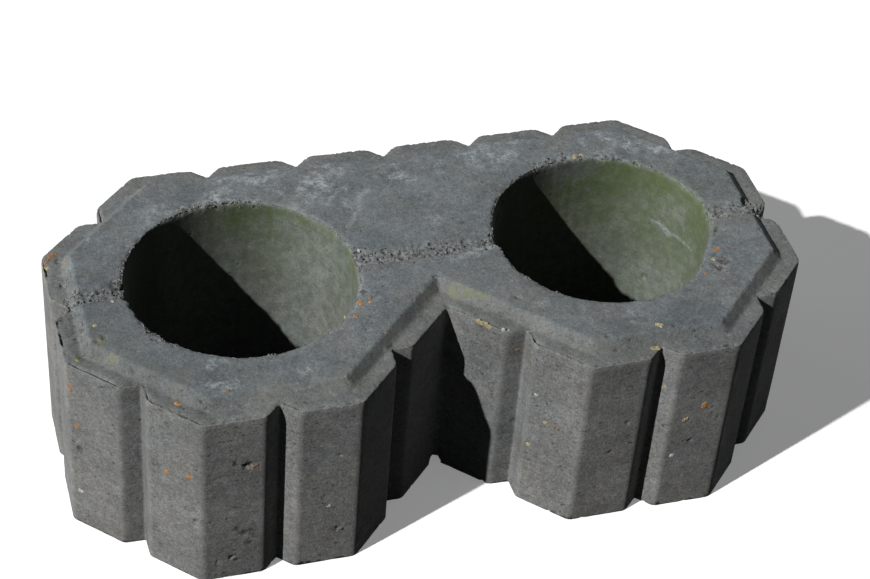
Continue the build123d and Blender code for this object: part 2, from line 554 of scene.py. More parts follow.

# %% Masks of stains, and of painted shade in the front notch
masks["lime_bloom"] = stain(places, [
    (255, 178, 30), (285, 182, 30), (312, 186, 34), (335, 190, 36), (352, 190, 22), (230, 182, 24),
    (490, 153, 34), (512, 150, 30), (470, 160, 24), (300, 200, 20), (215, 196, 20), (330, 172, 20),
    (475, 250, 14), (487, 248, 10), (452, 257, 10), (395, 175, 30), (430, 165, 26), (160, 215, 24),
    (600, 140, 30), (625, 142, 26), (660, 150, 24), (220, 375, 30), (300, 372, 26), (540, 300, 14),
    (640, 315, 16), (434, 219, 10), (345, 176, 24), (318, 176, 24), (272, 172, 20), (345, 205, 16),
])
masks["earth_dust"] = stain(places, [
    (460, 290, 30), (490, 300, 32), (525, 308, 32), (560, 320, 30), (105, 345, 34), (135, 368, 30),
    (175, 388, 34), (60, 300, 26), (400, 338, 26), (408, 330, 20), (430, 300, 20), (195, 178, 26),
    (600, 345, 30), (650, 350, 30), (330, 385, 26), (270, 395, 30), (780, 250, 26), (640, 135, 30),
])
masks["lichen_film"] = stain(places, [
    (455, 292, 9), (466, 292, 10), (478, 294, 9), (485, 294, 6), (100, 341, 7), (113, 358, 7), (76, 360, 4),
])
# Painted shade on the face of the front notch, and darker patches on the deck, the ledge and beside the bar's
# channel.
masks["shade_and_dark_patches"] = stain(places, [
    (485, 360, 70), (490, 420, 60), (475, 460, 50), (150, 365, 50), (110, 335, 50), (200, 385, 50),
    (80, 290, 40), (590, 342, 30), (620, 345, 40), (700, 330, 50), (72, 285, 30), (78, 320, 30),
    (105, 291, 22), (75, 336, 24), (130, 372, 30), (175, 392, 30), (95, 352, 26), (300, 390, 24),
    (480, 242, 14), (462, 245, 13), (440, 248, 12), (415, 250, 12),
])
stain_and_shade_masks = ("lime_bloom", "earth_dust", "lichen_film", "shade_and_dark_patches")
print("share of skin:", {name: round(float(masks[name].mean()), 3) for name in stain_and_shade_masks})

# %% Masks of growth in the wells, and of painted shade there
strong_growth = stain(places, [
    (245, 235, 50), (235, 220, 40), (258, 222, 40), (262, 255, 50), (282, 212, 22), (300, 215, 20),
    (330, 228, 18), (352, 252, 20), (354, 270, 22), (353, 288, 22), (640, 176, 40), (660, 178, 32),
    (680, 190, 28), (698, 204, 24), (600, 185, 60), (620, 205, 65), (700, 225, 34), (694, 250, 38),
    (680, 268, 40), (711, 211, 12), (580, 200, 60),
])
right_well = ramp(places[:, 0], -20, 20)
below_rim = deck_height - places[:, 2]
low_down = ramp(below_rim, 40, 110)
top_band = ramp(-below_rim, -45, -12)
growth_at = 0.22 + 0.24 * right_well - 0.16 * low_down + (0.22 + 0.4 * top_band) * strong_growth
masks["algae"] = zones["in_well"] * ramp(below_rim, 0.5, 3) * np.clip(growth_at, 0, 1)
moss_on_rim = stain(places, [
    (711, 211, 12), (640, 168, 14), (660, 174, 13), (676, 182, 13), (690, 192, 14), (702, 203, 12),
    (714, 224, 10), (716, 240, 10), (712, 256, 10), (703, 272, 10), (285, 211, 10),
])
masks["algae"] = np.maximum(masks["algae"], 0.5 * moss_on_rim)
bare_wall = stain(places, [(545, 172, 20), (560, 170, 22), (575, 168, 20), (590, 168, 14)])
masks["algae"] *= 1 - 0.75 * bare_wall
SUN_ALONG, SUN_ACROSS, SHADE_SLANT = 0.92, 0.39, 0.17
well_middles = np.sign(places[:, 0]) * cell_spacing / 2
# Painted shade: the walls are darker on the side away from the key light, and a little darker towards the
# bottom.
lighter_side = (places[:, 0] - well_middles - SHADE_SLANT * places[:, 1]) / WELL_RADIUS
masks["well_shade"] = zones["in_well"] * np.maximum(ramp(-lighter_side, -0.85, 0.05), 0.15 * low_down)
# Painted shadow: the side of each well wall that faces away from the key light is darkened in the material.
sunlit_side = (SUN_ALONG * (places[:, 0] - well_middles) + SUN_ACROSS * places[:, 1]) / WELL_RADIUS
masks["painted_shadow"] = zones["in_well"] * ramp(-sunlit_side, 0.0, 0.4)
for name, values in masks.items():
    attribute = block.data.attributes.new(name, "FLOAT", "POINT")
    attribute.data.foreach_set("value", values.astype(np.float32))
print("masks:", ", ".join(masks))

# %% [markdown]
# The cores that left the wells were not quite round and central. The wall leans in a little at the front, and
# most at the right of the right well, as the picture shows. The deck beside the rim follows. This is done
# last, so that the wear above could be measured from the exact casting.

# %% Lean of the well walls
well_leans = [
    # side of the block, angle round the well and spread in degrees, push towards its middle in mm
    (1, -30, 22, 8.0),
    (1, -75, 40, 3.5),
    (-1, -95, 45, 1.0),
]
LEAN_REACH, LEAN_HEIGHT = 28, 130
for side_of, angle, spread_of, most in well_leans:
    from_axis = places[:, :2] - (side_of * cell_spacing / 2, 0)
    distance = np.hypot(from_axis[:, 0], from_axis[:, 1])
    turn = np.degrees(np.arctan2(from_axis[:, 1], from_axis[:, 0]))
    away = (turn - angle + 180) % 360 - 180
    amount = most * np.exp(-(away / spread_of) ** 2)
    amount *= ramp(-distance, -WELL_RADIUS - LEAN_REACH, -WELL_RADIUS) * ramp(places[:, 2], 0, LEAN_HEIGHT)
    places[:, :2] -= from_axis / np.maximum(distance, 1)[:, None] * amount[:, None]
write_skin(block, places)
worn_shape = bmesh.new()
worn_shape.from_mesh(block.data)
worn_tree = BVHTree.FromBMesh(worn_shape)
worn_shape.free()
print("leans:", len(well_leans))

# %% [markdown]
# Materials are wired by a few short helpers: one adds a node and fills its inputs with numbers or links, and
# the others are the sums and mixes that every finish needs. A link knows which node tree it belongs to, so
# the helpers find the tree by themselves.

# %% Helpers for wiring nodes
def tree_of(values):
    """The node tree of the first link among some values."""
    return next(value.id_data for value in values if isinstance(value, bpy.types.NodeSocket))


def fill(made, inputs):
    """Fills the inputs of a node with numbers or links."""
    for name, value in inputs.items():
        if isinstance(value, bpy.types.NodeSocket):
            made.id_data.links.new(value, made.inputs[name])
        else:
            made.inputs[name].default_value = value


def add(kind, inputs, output=0, **settings):
    """Adds a node, fills its inputs and gives back one of its outputs."""
    made = tree_of(inputs.values()).nodes.new(kind)
    for name, value in settings.items():
        setattr(made, name, value)
    fill(made, inputs)
    return made.outputs[output]


def mask(tree, name, output="Fac"):
    """Reads a mask that was written to the mesh."""
    made = tree.nodes.new("ShaderNodeAttribute")
    made.attribute_name = name
    return made.outputs[output]


print("wiring helpers ready")

# %% Helpers for sums
def sum_of(operation, first, second=0.0, third=0.0):
    """One step of arithmetic."""
    return add("ShaderNodeMath", {0: first, 1: second, 2: third}, operation=operation)


def product(*values):
    """All the values multiplied."""
    result = values[0]
    for value in values[1:]:
        result = sum_of("MULTIPLY", result, value)
    return result


def vector_sum(operation, first, second=(0, 0, 0), output=0):
    """One step of arithmetic with places."""
    return add("ShaderNodeVectorMath", {0: first, 1: second}, output, operation=operation)


def spread(value, low, high, to_low=0.0, to_high=1.0):
    """Smoothly spreads the stretch from low to high over another stretch."""
    inputs = {"Value": value, "From Min": low, "From Max": high, "To Min": to_low, "To Max": to_high}
    return add("ShaderNodeMapRange", inputs, interpolation_type="SMOOTHSTEP")


def fade(value, start, end):
    """Goes smoothly from start to end as the value goes from 0 to 1."""
    return spread(value, 0.0, 1.0, start, end)


print("sums ready")

# %% Helpers for colours
def grey(value):
    """A neutral colour for multiplying tones."""
    return (value, value, value, 1.0)


def mix(share, under, over, blend="MIX"):
    """Mixes one colour over another."""
    inputs = {0: share, 6: under, 7: over}
    return add("ShaderNodeMix", inputs, output=2, data_type="RGBA", blend_type=blend)


def lay(under, over, *shares):
    """Lays one colour over another, as strongly as the shares multiplied."""
    return mix(product(*shares), under, over)


def tint_by(colour, tone):
    """A colour multiplied by another."""
    return mix(1.0, colour, tone, "MULTIPLY")


def toned(colour, value, dark, light):
    """A colour times a grey that goes from dark to light as the value goes from 0 to 1."""
    return tint_by(colour, mix(value, grey(dark), grey(light)))


print("colours ready")

# %% [markdown]
# A node group is a small machine with named inputs and outputs, built once and placed wherever it is needed.

# %% Helpers for node groups
VECTOR, FLOAT = "NodeSocketVector", "NodeSocketFloat"


def new_group(name, inputs, outputs):
    """An empty node group, the sockets of its inputs and the node that takes its outputs."""
    tree = bpy.data.node_groups.new(name, "ShaderNodeTree")
    for socket, (kind, value) in inputs.items():
        made = tree.interface.new_socket(socket, in_out="INPUT", socket_type=kind)
        if value is not None:
            made.default_value = value
    for socket in outputs:
        tree.interface.new_socket(socket, in_out="OUTPUT", socket_type=FLOAT)
    return tree, tree.nodes.new("NodeGroupInput").outputs, tree.nodes.new("NodeGroupOutput")


def use_group(group, **inputs):
    """Places a group in the tree of its links and gives back its outputs."""
    made = tree_of(inputs.values()).nodes.new("ShaderNodeGroup")
    made.node_tree = group
    fill(made, inputs)
    return made.outputs


print("group helpers ready")

# %% [markdown]
# Four effects make up the concrete and the crusts that grow on it. Blotches are soft clouds of stain or
# tone. Sand is a field of grains, each with its own shade. Pinholes are small air holes. A drawn line is a
# thin mark from one place to another. Sizes are given in millimetres.

# %% Blotches
blotches, given, made = new_group(
    "blotches",
    {"Place": (VECTOR, None), "Size": (FLOAT, 20.0), "Low": (FLOAT, 0.4), "High": (FLOAT, 0.6)},
    ["Amount"],
)
cloud = add("ShaderNodeTexNoise", {
    "Vector": given["Place"], "Scale": sum_of("DIVIDE", 1.0, given["Size"]), "Detail": 4.0, "Roughness": 0.62,
})
fill(made, {"Amount": spread(cloud, given["Low"], given["High"])})


def clouds(place, size, low, high):
    """Blotches of one size. The noise that they are cut from runs from nothing at low to full at high."""
    return use_group(blotches, Place=place, Size=size, Low=low, High=high)["Amount"]


print("group made:", blotches.name)

# %% Sand
sand, given, made = new_group(
    "sand", {"Place": (VECTOR, None), "Size": (FLOAT, 2.0)}, ["Shade", "Height"],
)
grain_inputs = {"Vector": given["Place"], "Scale": sum_of("DIVIDE", 1.0, given["Size"])}
grain_colour = add("ShaderNodeTexVoronoi", grain_inputs, "Color")
grain_middle = add("ShaderNodeTexVoronoi", grain_inputs, "Distance")
fill(made, {
    "Shade": add("ShaderNodeSeparateColor", {0: grain_colour}),
    "Height": sum_of("SUBTRACT", 1.0, grain_middle),
})
print("group made:", sand.name)

# %% Pinholes
pinholes, given, made = new_group(
    "pinholes",
    {"Place": (VECTOR, None), "Spacing": (FLOAT, 6.0), "Share": (FLOAT, 0.4), "Radius": (FLOAT, 1.0)},
    ["Amount"],
)
BEND = (1.6, 1.6, 1.6)
bend = add("ShaderNodeTexNoise", {"Vector": given["Place"], "Scale": 0.45, "Detail": 1.0}, 1)
bent = add("ShaderNodeVectorMath", {0: bend, 1: BEND, 2: given["Place"]}, operation="MULTIPLY_ADD")
hole_inputs = {"Vector": bent, "Scale": sum_of("DIVIDE", 1.0, given["Spacing"])}
hole_middle = add("ShaderNodeTexVoronoi", hole_inputs, "Distance")
hole_colour = add("ShaderNodeTexVoronoi", hole_inputs, "Color")
chance, bigness, _ = add("ShaderNodeSeparateColor", {0: hole_colour}).node.outputs
hole_size = sum_of("DIVIDE", given["Radius"], given["Spacing"])
hole_size = product(hole_size, fade(bigness, 0.4, 1.3))
hole_core = product(hole_size, 0.4)
hole = sum_of("SUBTRACT", 1.0, spread(hole_middle, hole_core, hole_size))
fill(made, {"Amount": product(hole, sum_of("LESS_THAN", chance, given["Share"]))})


def dots(place, spacing, share, radius):
    """Pinholes, or specks of the same shape, in the given share of places."""
    return use_group(pinholes, Place=place, Spacing=spacing, Share=share, Radius=radius)["Amount"]


print("group made:", pinholes.name)

# %% Drawn line
drawn_line, given, made = new_group(
    "drawn line",
    {"Place": (VECTOR, None), "From": (VECTOR, None), "To": (VECTOR, None), "Width": (FLOAT, 2.0)},
    ["Amount"],
)
run = vector_sum("SUBTRACT", given["To"], given["From"])
offset = vector_sum("SUBTRACT", given["Place"], given["From"])
along_run = vector_sum("DOT_PRODUCT", offset, run, output=1)
share = sum_of("DIVIDE", along_run, vector_sum("DOT_PRODUCT", run, run, output=1))
share = add("ShaderNodeClamp", {"Value": share})
nearest = add("ShaderNodeVectorMath", {0: run, "Scale": share}, operation="SCALE")
distance = vector_sum("DISTANCE", offset, nearest, output=1)
fill(made, {"Amount": spread(distance, given["Width"], 0.0)})
print("groups:", [group.name for group in bpy.data.node_groups])

# %% [markdown]
# The concrete is layered as it came about: grey paste and sand first, then the smoother deck, whose blue cast
# is painted sky light, the air holes, pale worn edges, lime that bloomed out of the back of the deck, dust on
# the ledge, and algae in the wells. Painted shade darkens the air holes, the gaps in the rubble, the
# crevices, the front notch, and the sides of the wells away from the key light, a little more towards their
# bottom. Every layer is a colour laid over the others with its own mask, broken up by blotches.

# %% Helper for new materials
def new_material(name):
    """An empty material with a Principled shader, and the place in mm that its textures follow."""
    material = bpy.data.materials.new(name)
    material.use_nodes = True
    tree = material.node_tree
    coordinates = tree.nodes.new("ShaderNodeTexCoord").outputs["Object"]
    place = add("ShaderNodeVectorMath", {0: coordinates, "Scale": 1 / MM}, operation="SCALE")
    return material, tree, tree.nodes["Principled BSDF"], place


print("material helper ready")

# %% Concrete: paste, with painted sky light on the deck and painted shade in the wells
FACE_GREY, DECK_GREY_AND_SKY = (0.189, 0.191, 0.186, 1), (0.160, 0.178, 0.186, 1)
DECK_WARM, LEDGE_GREY = (0.160, 0.166, 0.165, 1), (0.162, 0.167, 0.159, 1)
WELL_GREY, WELL_SHADE_GREY = (0.169, 0.184, 0.171, 1), (0.099, 0.109, 0.103, 1)
CORNER_GREY = (0.228, 0.230, 0.223, 1)
BLUISH, BROWNISH = (0.98, 1.0, 1.02, 1), (1.02, 1.0, 0.98, 1)
LAYER_SQUEEZE, HUE_SHIFT = (0.1, 0.1, 1.0), (300, 0, 0)

concrete, tree, shader, place = new_material("weathered_concrete")
facing_up, in_well, rounded = (mask(tree, name) for name in ("facing_up", "in_well", "rounded"))
step, shade_and_dark_patches, well_shade = (mask(tree, name) for name in ("step", "shade_and_dark_patches", "well_shade"))
smooth_face = sum_of("MAXIMUM", facing_up, in_well)
smooth_face = sum_of("MAXIMUM", smooth_face, product(rounded, 0.7))

# The deck's blue cast is painted sky light over its own grey.
colour = mix(facing_up, FACE_GREY, DECK_GREY_AND_SKY)
colour = lay(colour, DECK_WARM, clouds(place, 24.0, 0.45, 0.68), facing_up, 0.7)
colour = lay(colour, LEDGE_GREY, step, 0.6)
colour = lay(colour, WELL_GREY, in_well)
# Painted shade on the well walls away from the key light, and a little towards the bottom.
colour = lay(colour, WELL_SHADE_GREY, well_shade, 0.95)
colour = lay(colour, CORNER_GREY, rounded, 0.4)
close = clouds(place, 9.0, 0.32, 0.68)
colour = toned(colour, clouds(place, 46.0, 0.3, 0.7), 0.86, 1.14)
colour = toned(colour, close, 0.89, 1.11)
hue = clouds(vector_sum("ADD", place, HUE_SHIFT), 34.0, 0.36, 0.64)
colour = tint_by(colour, mix(hue, BLUISH, BROWNISH))
layers = clouds(vector_sum("MULTIPLY", place, LAYER_SQUEEZE), 5.0, 0.3, 0.7)
colour = lay(colour, toned(colour, layers, 0.955, 1.045), sum_of("SUBTRACT", 1.0, smooth_face))
print("paste has", len(tree.nodes), "nodes")

# %% Concrete: sand
rubble_share = mask(tree, "rubble")
broken_share = sum_of("MAXIMUM", mask(tree, "broken"), product(rubble_share, 0.8))
rough_step = product(step, shade_and_dark_patches)
sand_share = sum_of("MULTIPLY_ADD", facing_up, 0.15, fade(smooth_face, 0.9, 0.6))
sand_share = sum_of("MAXIMUM", sand_share, sum_of("MAXIMUM", rough_step, broken_share))
coarse_sand = use_group(sand, Place=place, Size=2.3)
fine_sand = use_group(sand, Place=place, Size=1.0)
colour = lay(colour, toned(colour, coarse_sand["Shade"], 0.86, 1.14), sand_share)
colour = lay(colour, toned(colour, fine_sand["Shade"], 0.73, 1.27), sand_share)
print("with sand it has", len(tree.nodes), "nodes")

# %% Concrete: holes with painted shade, flecks and grains
HOLE_SHADE, FLECK, FINE_FLECK = (0.04, 0.041, 0.04, 1), (0.05, 0.05, 0.047, 1), (0.06, 0.06, 0.057, 1)
PALE_GRAIN, PALE_SPECK = (0.34, 0.35, 0.345, 1), (0.36, 0.37, 0.365, 1)
FLECK_SQUEEZE = (0.8, 0.8, 1.5)
small_holes = dots(place, 6.5, 0.24, 1.3)
# Air holes are painted near-black: painted shade inside them.
colour = lay(colour, HOLE_SHADE, small_holes, fade(smooth_face, 0.5, 0.45))
flat_place = vector_sum("MULTIPLY", place, FLECK_SQUEEZE)
fleck_patches = fade(clouds(place, 30.0, 0.40, 0.60), 0.3, 1.0)
fleck_strength = sum_of("MULTIPLY_ADD", rough_step, 0.9, fade(smooth_face, 0.85, 0.35))
torn_flecks = clouds(flat_place, 5.5, 0.62, 0.665)
colour = lay(colour, FLECK, torn_flecks, fleck_patches, fleck_strength)
colour = lay(colour, FINE_FLECK, clouds(flat_place, 2.3, 0.62, 0.67), fleck_strength, 0.7)
colour = lay(colour, PALE_GRAIN, dots(place, 7.5, 0.34, 1.3), 0.4)
colour = lay(colour, PALE_SPECK, dots(flat_place, 4.2, 0.22, 0.9), fleck_patches, 0.5)
print("with holes and grains it has", len(tree.nodes), "nodes")

# %% Concrete: rubble with painted shade in its gaps, worn edges and scars
DARK_STONE, PALE_STONE = (0.115, 0.119, 0.118, 1), (0.345, 0.356, 0.353, 1)
GAP_SHADE, LEDGE_SPECK = (0.022, 0.022, 0.02, 1), (0.065, 0.066, 0.062, 1)
WORN, SCAR = (0.27, 0.275, 0.268, 1), (0.062, 0.062, 0.048, 1)
colour = lay(colour, mix(coarse_sand["Shade"], DARK_STONE, PALE_STONE), broken_share, 0.6)
# The gaps between rubble grains are painted near-black as painted shade.
colour = lay(colour, GAP_SHADE, dots(place, 3.8, 0.75, 1.8), rubble_share, 0.95)
colour = lay(colour, LEDGE_SPECK, dots(place, 2.4, 0.4, 0.9), rough_step, 0.8)
pale_wear = clouds(place, 7.0, 0.45, 0.62)
colour = lay(colour, WORN, mask(tree, "worn_edge"), pale_wear, fade(in_well, 0.32, 0.12))
colour = lay(colour, SCAR, mask(tree, "scarred"), 0.65)
print("with rubble and wear it has", len(tree.nodes), "nodes")

# %% Concrete: stains of the years, and painted shade in the crevices and the front notch
CREVICE_SHADE, DARKENING_TONE = (0.03, 0.03, 0.028, 1), (0.76, 0.78, 0.80, 1)
BLOOM, DUST, FILM = (0.39, 0.43, 0.455, 1), (0.190, 0.189, 0.166, 1), (0.205, 0.213, 0.095, 1)
# Painted shade: the crevice behind the ledge fin is darkened nearly to black.
colour = lay(colour, CREVICE_SHADE, mask(tree, "crevice"), 0.8)
# Painted shade in the front notch, and darker patches elsewhere: a darker, bluish tone.
colour = lay(colour, tint_by(colour, DARKENING_TONE), shade_and_dark_patches, 0.9)
bloom_break = clouds(place, 16.0, 0.40, 0.62)
wisps = clouds(place, 6.0, 0.34, 0.64)
lime_grains = fade(clouds(place, 2.0, 0.36, 0.62), 0.5, 1.25)
colour = lay(colour, BLOOM, mask(tree, "lime_bloom"), bloom_break, wisps, facing_up, lime_grains)
colour = lay(colour, DUST, mask(tree, "earth_dust"), clouds(place, 24.0, 0.3, 0.62), 0.42)
colour = lay(colour, FILM, mask(tree, "lichen_film"), clouds(place, 7.0, 0.35, 0.6), 0.6)
print("with stains it has", len(tree.nodes), "nodes")

# %% Concrete: algae in the wells, and painted shade there
YOUNG_ALGAE, OLD_ALGAE = (0.140, 0.172, 0.096, 1), (0.110, 0.141, 0.071, 1)
WELL_SHADE_TONE, SHADOW_TONE = (0.58, 0.61, 0.58, 1), grey(0.55)
STREAK_STRETCH = (1.0, 1.0, 0.14)
streaks = clouds(vector_sum("MULTIPLY", place, STREAK_STRETCH), 6.0, 0.25, 0.75)
growth = clouds(place, 26.0, 0.3, 0.7)
tufts = clouds(place, 3.4, 0.38, 0.62)
algae_colour = mix(growth, YOUNG_ALGAE, OLD_ALGAE)
# Painted shade: the algae are darker on the side of the well away from the key light.
algae_colour = lay(algae_colour, tint_by(algae_colour, WELL_SHADE_TONE), well_shade)
colour = lay(colour, algae_colour, mask(tree, "algae"), fade(streaks, 0.85, 1.15),
             fade(growth, 0.75, 1.2), fade(tufts, 0.7, 1.25), fade(facing_up, 1.0, 0.6))
mottle = clouds(place, 9.0, 0.36, 0.64)
colour = lay(colour, toned(colour, mottle, 0.895, 1.03), in_well)
# Painted shadow: wall sides facing away from the key light are darkened to 0.55 of their colour.
colour = lay(colour, tint_by(colour, SHADOW_TONE), mask(tree, "painted_shadow"))
print("with algae it has", len(tree.nodes), "nodes")

# %% Concrete: drawn marks
LIME, SOOT = (0.34, 0.365, 0.37, 1), (0.05, 0.05, 0.048, 1)
picture_lines = [
    # picture points in turn, width in mm, colour, strength
    ([(368, 190), (359, 197), (360, 209), (355, 214), (354, 219), (348, 227)], 3.6, LIME, 0.65),
    ([(652, 220), (662, 226), (672, 234), (684, 243), (691, 250)], 2.6, LIME, 0.55),
    ([(660, 224), (668, 234)], 5.5, LIME, 0.6),
    ([(461, 257), (470, 253), (480, 250), (491, 248)], 5.0, LIME, 0.6),
    ([(210, 484), (214, 479), (225, 476)], 1.8, SOOT, 0.6),
    ([(235, 529), (240, 531), (246, 532)], 3.2, SOOT, 0.6),
    ([(249, 534), (255, 530)], 2.8, SOOT, 0.6),
    ([(246, 541), (253, 543)], 2.4, SOOT, 0.6),
]
line_break = clouds(place, 1.8, 0.32, 0.64)
for pixels, width, line_colour, strength in picture_lines:
    ends = [tuple(touch(pixel, worn_tree)[0]) for pixel in pixels]
    for start, end in zip(ends, ends[1:]):
        line = use_group(drawn_line, Place=place, From=start, To=end, Width=width)["Amount"]
        colour = lay(colour, line_colour, line, line_break, strength)
print("drawn marks:", len(picture_lines))

# %% Concrete: roughness and fine relief
height = product(coarse_sand["Height"], 0.5)
height = sum_of("MULTIPLY_ADD", fine_sand["Height"], 0.5, height)
height = product(height, sand_share)
height = sum_of("MULTIPLY_ADD", small_holes, -1.5, height)
height = sum_of("MULTIPLY_ADD", torn_flecks, -1.0, height)
fill(shader, {
    "Base Color": colour,
    "Roughness": fade(close, 0.84, 0.97),
    "Specular IOR Level": 0.06,
    "Normal": add("ShaderNodeBump", {"Height": height, "Distance": 0.5 * MM, "Strength": 0.4}),
})
block.data.materials.clear()
block.data.materials.append(concrete)
print("concrete has", len(tree.nodes), "nodes")

# %% [markdown]
# Small crusts of orange lichen, straw-coloured bits and pale stones stick to the block. Each is a low, ragged
# dome that is sunk a little into the surface. They are one joined mesh, and a colour at each point says what
# a crust is made of.

# %% Places of the crusts
ORANGE, RUST, STRAW = (0.42, 0.20, 0.065), (0.28, 0.15, 0.075), (0.44, 0.37, 0.20)
PALE, MOSS = (0.55, 0.55, 0.52), (0.26, 0.25, 0.06)
picture_crusts = [
    # picture point, radius in mm, how long it is for its width, colour
    (52, 256, 4.2, 1.6, RUST), (47, 261, 3.0, 1.3, RUST), (65, 262, 1.8, 1.5, ORANGE),
    (361, 304, 3.2, 1.8, ORANGE), (371, 298, 2.4, 1.4, RUST), (371, 302, 2.0, 1.2, STRAW),
    (356, 316, 2.4, 1.2, ORANGE), (70, 388, 3.0, 1.5, ORANGE), (77, 427, 2.4, 1.1, ORANGE),
    (166, 472, 2.8, 1.3, ORANGE), (188, 476, 3.2, 1.2, ORANGE), (178, 404, 2.6, 1.2, ORANGE),
    (228, 391, 1.8, 1.1, RUST), (717, 249, 3.2, 1.8, ORANGE), (707, 273, 2.6, 1.4, RUST),
    (705, 405, 3.0, 1.2, ORANGE), (554, 427, 2.2, 1.2, RUST), (255, 466, 2.4, 2.0, RUST),
    (517, 350, 1.8, 1.2, RUST), (47, 268, 2.8, 1.7, STRAW), (77, 360, 2.0, 1.2, MOSS),
    (95, 325, 2.2, 1.2, STRAW), (480, 322, 3.4, 1.3, STRAW), (488, 326, 3.0, 1.3, STRAW),
    (484, 324, 2.0, 1.2, RUST), (503, 330, 1.7, 1.2, PALE), (508, 330, 1.8, 1.3, PALE),
    (528, 445, 2.6, 1.2, STRAW), (545, 422, 2.2, 1.2, STRAW), (574, 156, 2.6, 1.3, STRAW),
    (581, 155, 2.6, 1.2, STRAW), (655, 348, 3.6, 1.4, STRAW), (660, 325, 2.8, 1.3, STRAW),
    (664, 387, 2.6, 1.2, STRAW), (714, 259, 2.2, 1.2, STRAW), (81, 491, 2.6, 1.2, PALE),
    (330, 506, 2.0, 1.1, PALE), (536, 395, 2.0, 1.2, PALE), (672, 455, 2.6, 1.4, PALE),
    (685, 420, 3.0, 1.3, STRAW), (725, 214, 2.0, 1.4, STRAW), (359, 250, 2.2, 1.4, PALE),
    (113, 301, 1.8, 1.2, PALE), (345, 318, 1.8, 1.5, STRAW),
]
print("crusts in the picture:", len(picture_crusts))

# %% Shape of a crust
RIM_POINTS = 14
CRUST_RINGS = [(1.0, -0.6), (0.86, 0.1), (0.5, 0.35), (0.0, 0.45)]
LOBES = 6
CRUST_TURN, LOBE_TURN, LOBE_STRETCH = 2.4, 1.9, 1.15


def surface_ways(outward, turn):
    """Two directions along a surface, square to each other."""
    across = outward.orthogonal().normalized()
    across.rotate(Quaternion(outward, turn))
    return across, outward.cross(across)


def crust_points(place, outward, radius, stretch, turn):
    """Rings of a low ragged dome, from its sunken rim to its top, in mm."""
    across, along = surface_ways(outward, turn)
    rings = []
    for share, lift in CRUST_RINGS:
        ring = []
        for step in range(RIM_POINTS):
            angle = 2 * math.pi * step / RIM_POINTS
            way = Vector((math.cos(angle), math.sin(angle), 0))
            ragged = 1 + 0.55 * noise.noise(place + way * 1.3) + 0.3 * noise.noise(place * 3 + way * 3.0)
            reach = radius * share * ragged
            flat = across * (math.cos(angle) * reach * stretch) + along * (math.sin(angle) * reach / stretch)
            bump = 0.5 * noise.noise(place * 2 + way * share * 2.2) * share
            ring.append(place + flat + outward * (lift + bump))
        rings.append(ring)
    return rings


print("points in a crust's lobe:", RIM_POINTS * len(CRUST_RINGS))

# %% Crusts
crust_shape = bmesh.new()
tint = crust_shape.verts.layers.float_color.new("tint")
for number, (*pixel, radius, stretch, colour_of) in enumerate(picture_crusts):
    place_of, worn_outward = touch(pixel, worn_tree)
    outward_of = casting_tree.find_nearest(place_of * MM)[1]
    if worn_outward.dot(outward_of) < 0.5:
        outward_of = worn_outward
    lengthways, sideways = surface_ways(outward_of, number * CRUST_TURN)
    for lobe in range(LOBES):
        shift = random_draw.uniform(-0.5, 0.5, 2) * radius
        middle = place_of + lengthways * (shift[0] * stretch) + sideways * (shift[1] / stretch)
        size = radius * random_draw.uniform(0.4, 0.75)
        shade = random_draw.uniform(0.7, 1.2)
        rings = crust_points(middle, outward_of, size, LOBE_STRETCH, number + lobe * LOBE_TURN)
        made_rings = [[crust_shape.verts.new(point * MM) for point in ring] for ring in rings]
        for ring in made_rings:
            for point in ring:
                point[tint] = (*(part * shade for part in colour_of), 1.0)
        for outer, inner in zip(made_rings, made_rings[1:]):
            for step in range(RIM_POINTS):
                follow = (step + 1) % RIM_POINTS
                crust_shape.faces.new((outer[step], outer[follow], inner[follow], inner[step]))
bmesh.ops.remove_doubles(crust_shape, verts=crust_shape.verts, dist=0.001 * MM)
bmesh.ops.recalc_face_normals(crust_shape, faces=crust_shape.faces)
crust_mesh = bpy.data.meshes.new("lichen_crusts")
crust_shape.to_mesh(crust_mesh)
crust_shape.free()
crusts = put("lichen_crusts", crust_mesh)
print("crusts have", len(crust_mesh.polygons), "faces")

# %% Finish of the crusts
CRUST_DUST = (0.20, 0.19, 0.165, 1)
crust_finish, tree, shader, place = new_material("crust_and_litter")
crust_grains = use_group(sand, Place=place, Size=1.0)
patchy = clouds(place, 2.6, 0.35, 0.7)
colour = toned(mask(tree, "tint", "Color"), crust_grains["Shade"], 0.7, 1.25)
fill(shader, {
    "Base Color": lay(colour, CRUST_DUST, patchy, 0.5),
    "Roughness": fade(patchy, 0.8, 0.95),
    "Specular IOR Level": 0.2,
    "Normal": add("ShaderNodeBump", {
        "Height": crust_grains["Height"], "Distance": 0.4 * MM, "Strength": 0.7,
    }),
})
crust_mesh.materials.append(crust_finish)
print("crust finish has", len(tree.nodes), "nodes")

# %% [markdown]
# Rubble is made of single grains, too small for the skin to show. Each grain is a twenty-sided ball with its
# corners pushed about, sunk into the worn skin. All of them are one joined mesh, made from arrays. They share
# the finish of the crusts, with a grey of their own.

# %% Pattern and places of the grit
grit_runs = {
    # how many grains, smallest, typical and largest radius in mm
    "rubble": (1000, 0.4, 0.3, 1.5),
    "worn_edge": (750, 0.4, 0.25, 1.2),
    "crevice": (160, 0.35, 0.2, 0.8),
}
DARK_GRIT, PALE_GRIT = np.array((0.075, 0.080, 0.082)), np.array((0.285, 0.30, 0.31))
pattern = bmesh.new()
bmesh.ops.create_icosphere(pattern, subdivisions=1, radius=1.0)
ball_corners = np.array([corner.co for corner in pattern.verts])
ball_faces = np.array([[corner.index for corner in face.verts] for face in pattern.faces])
pattern.free()

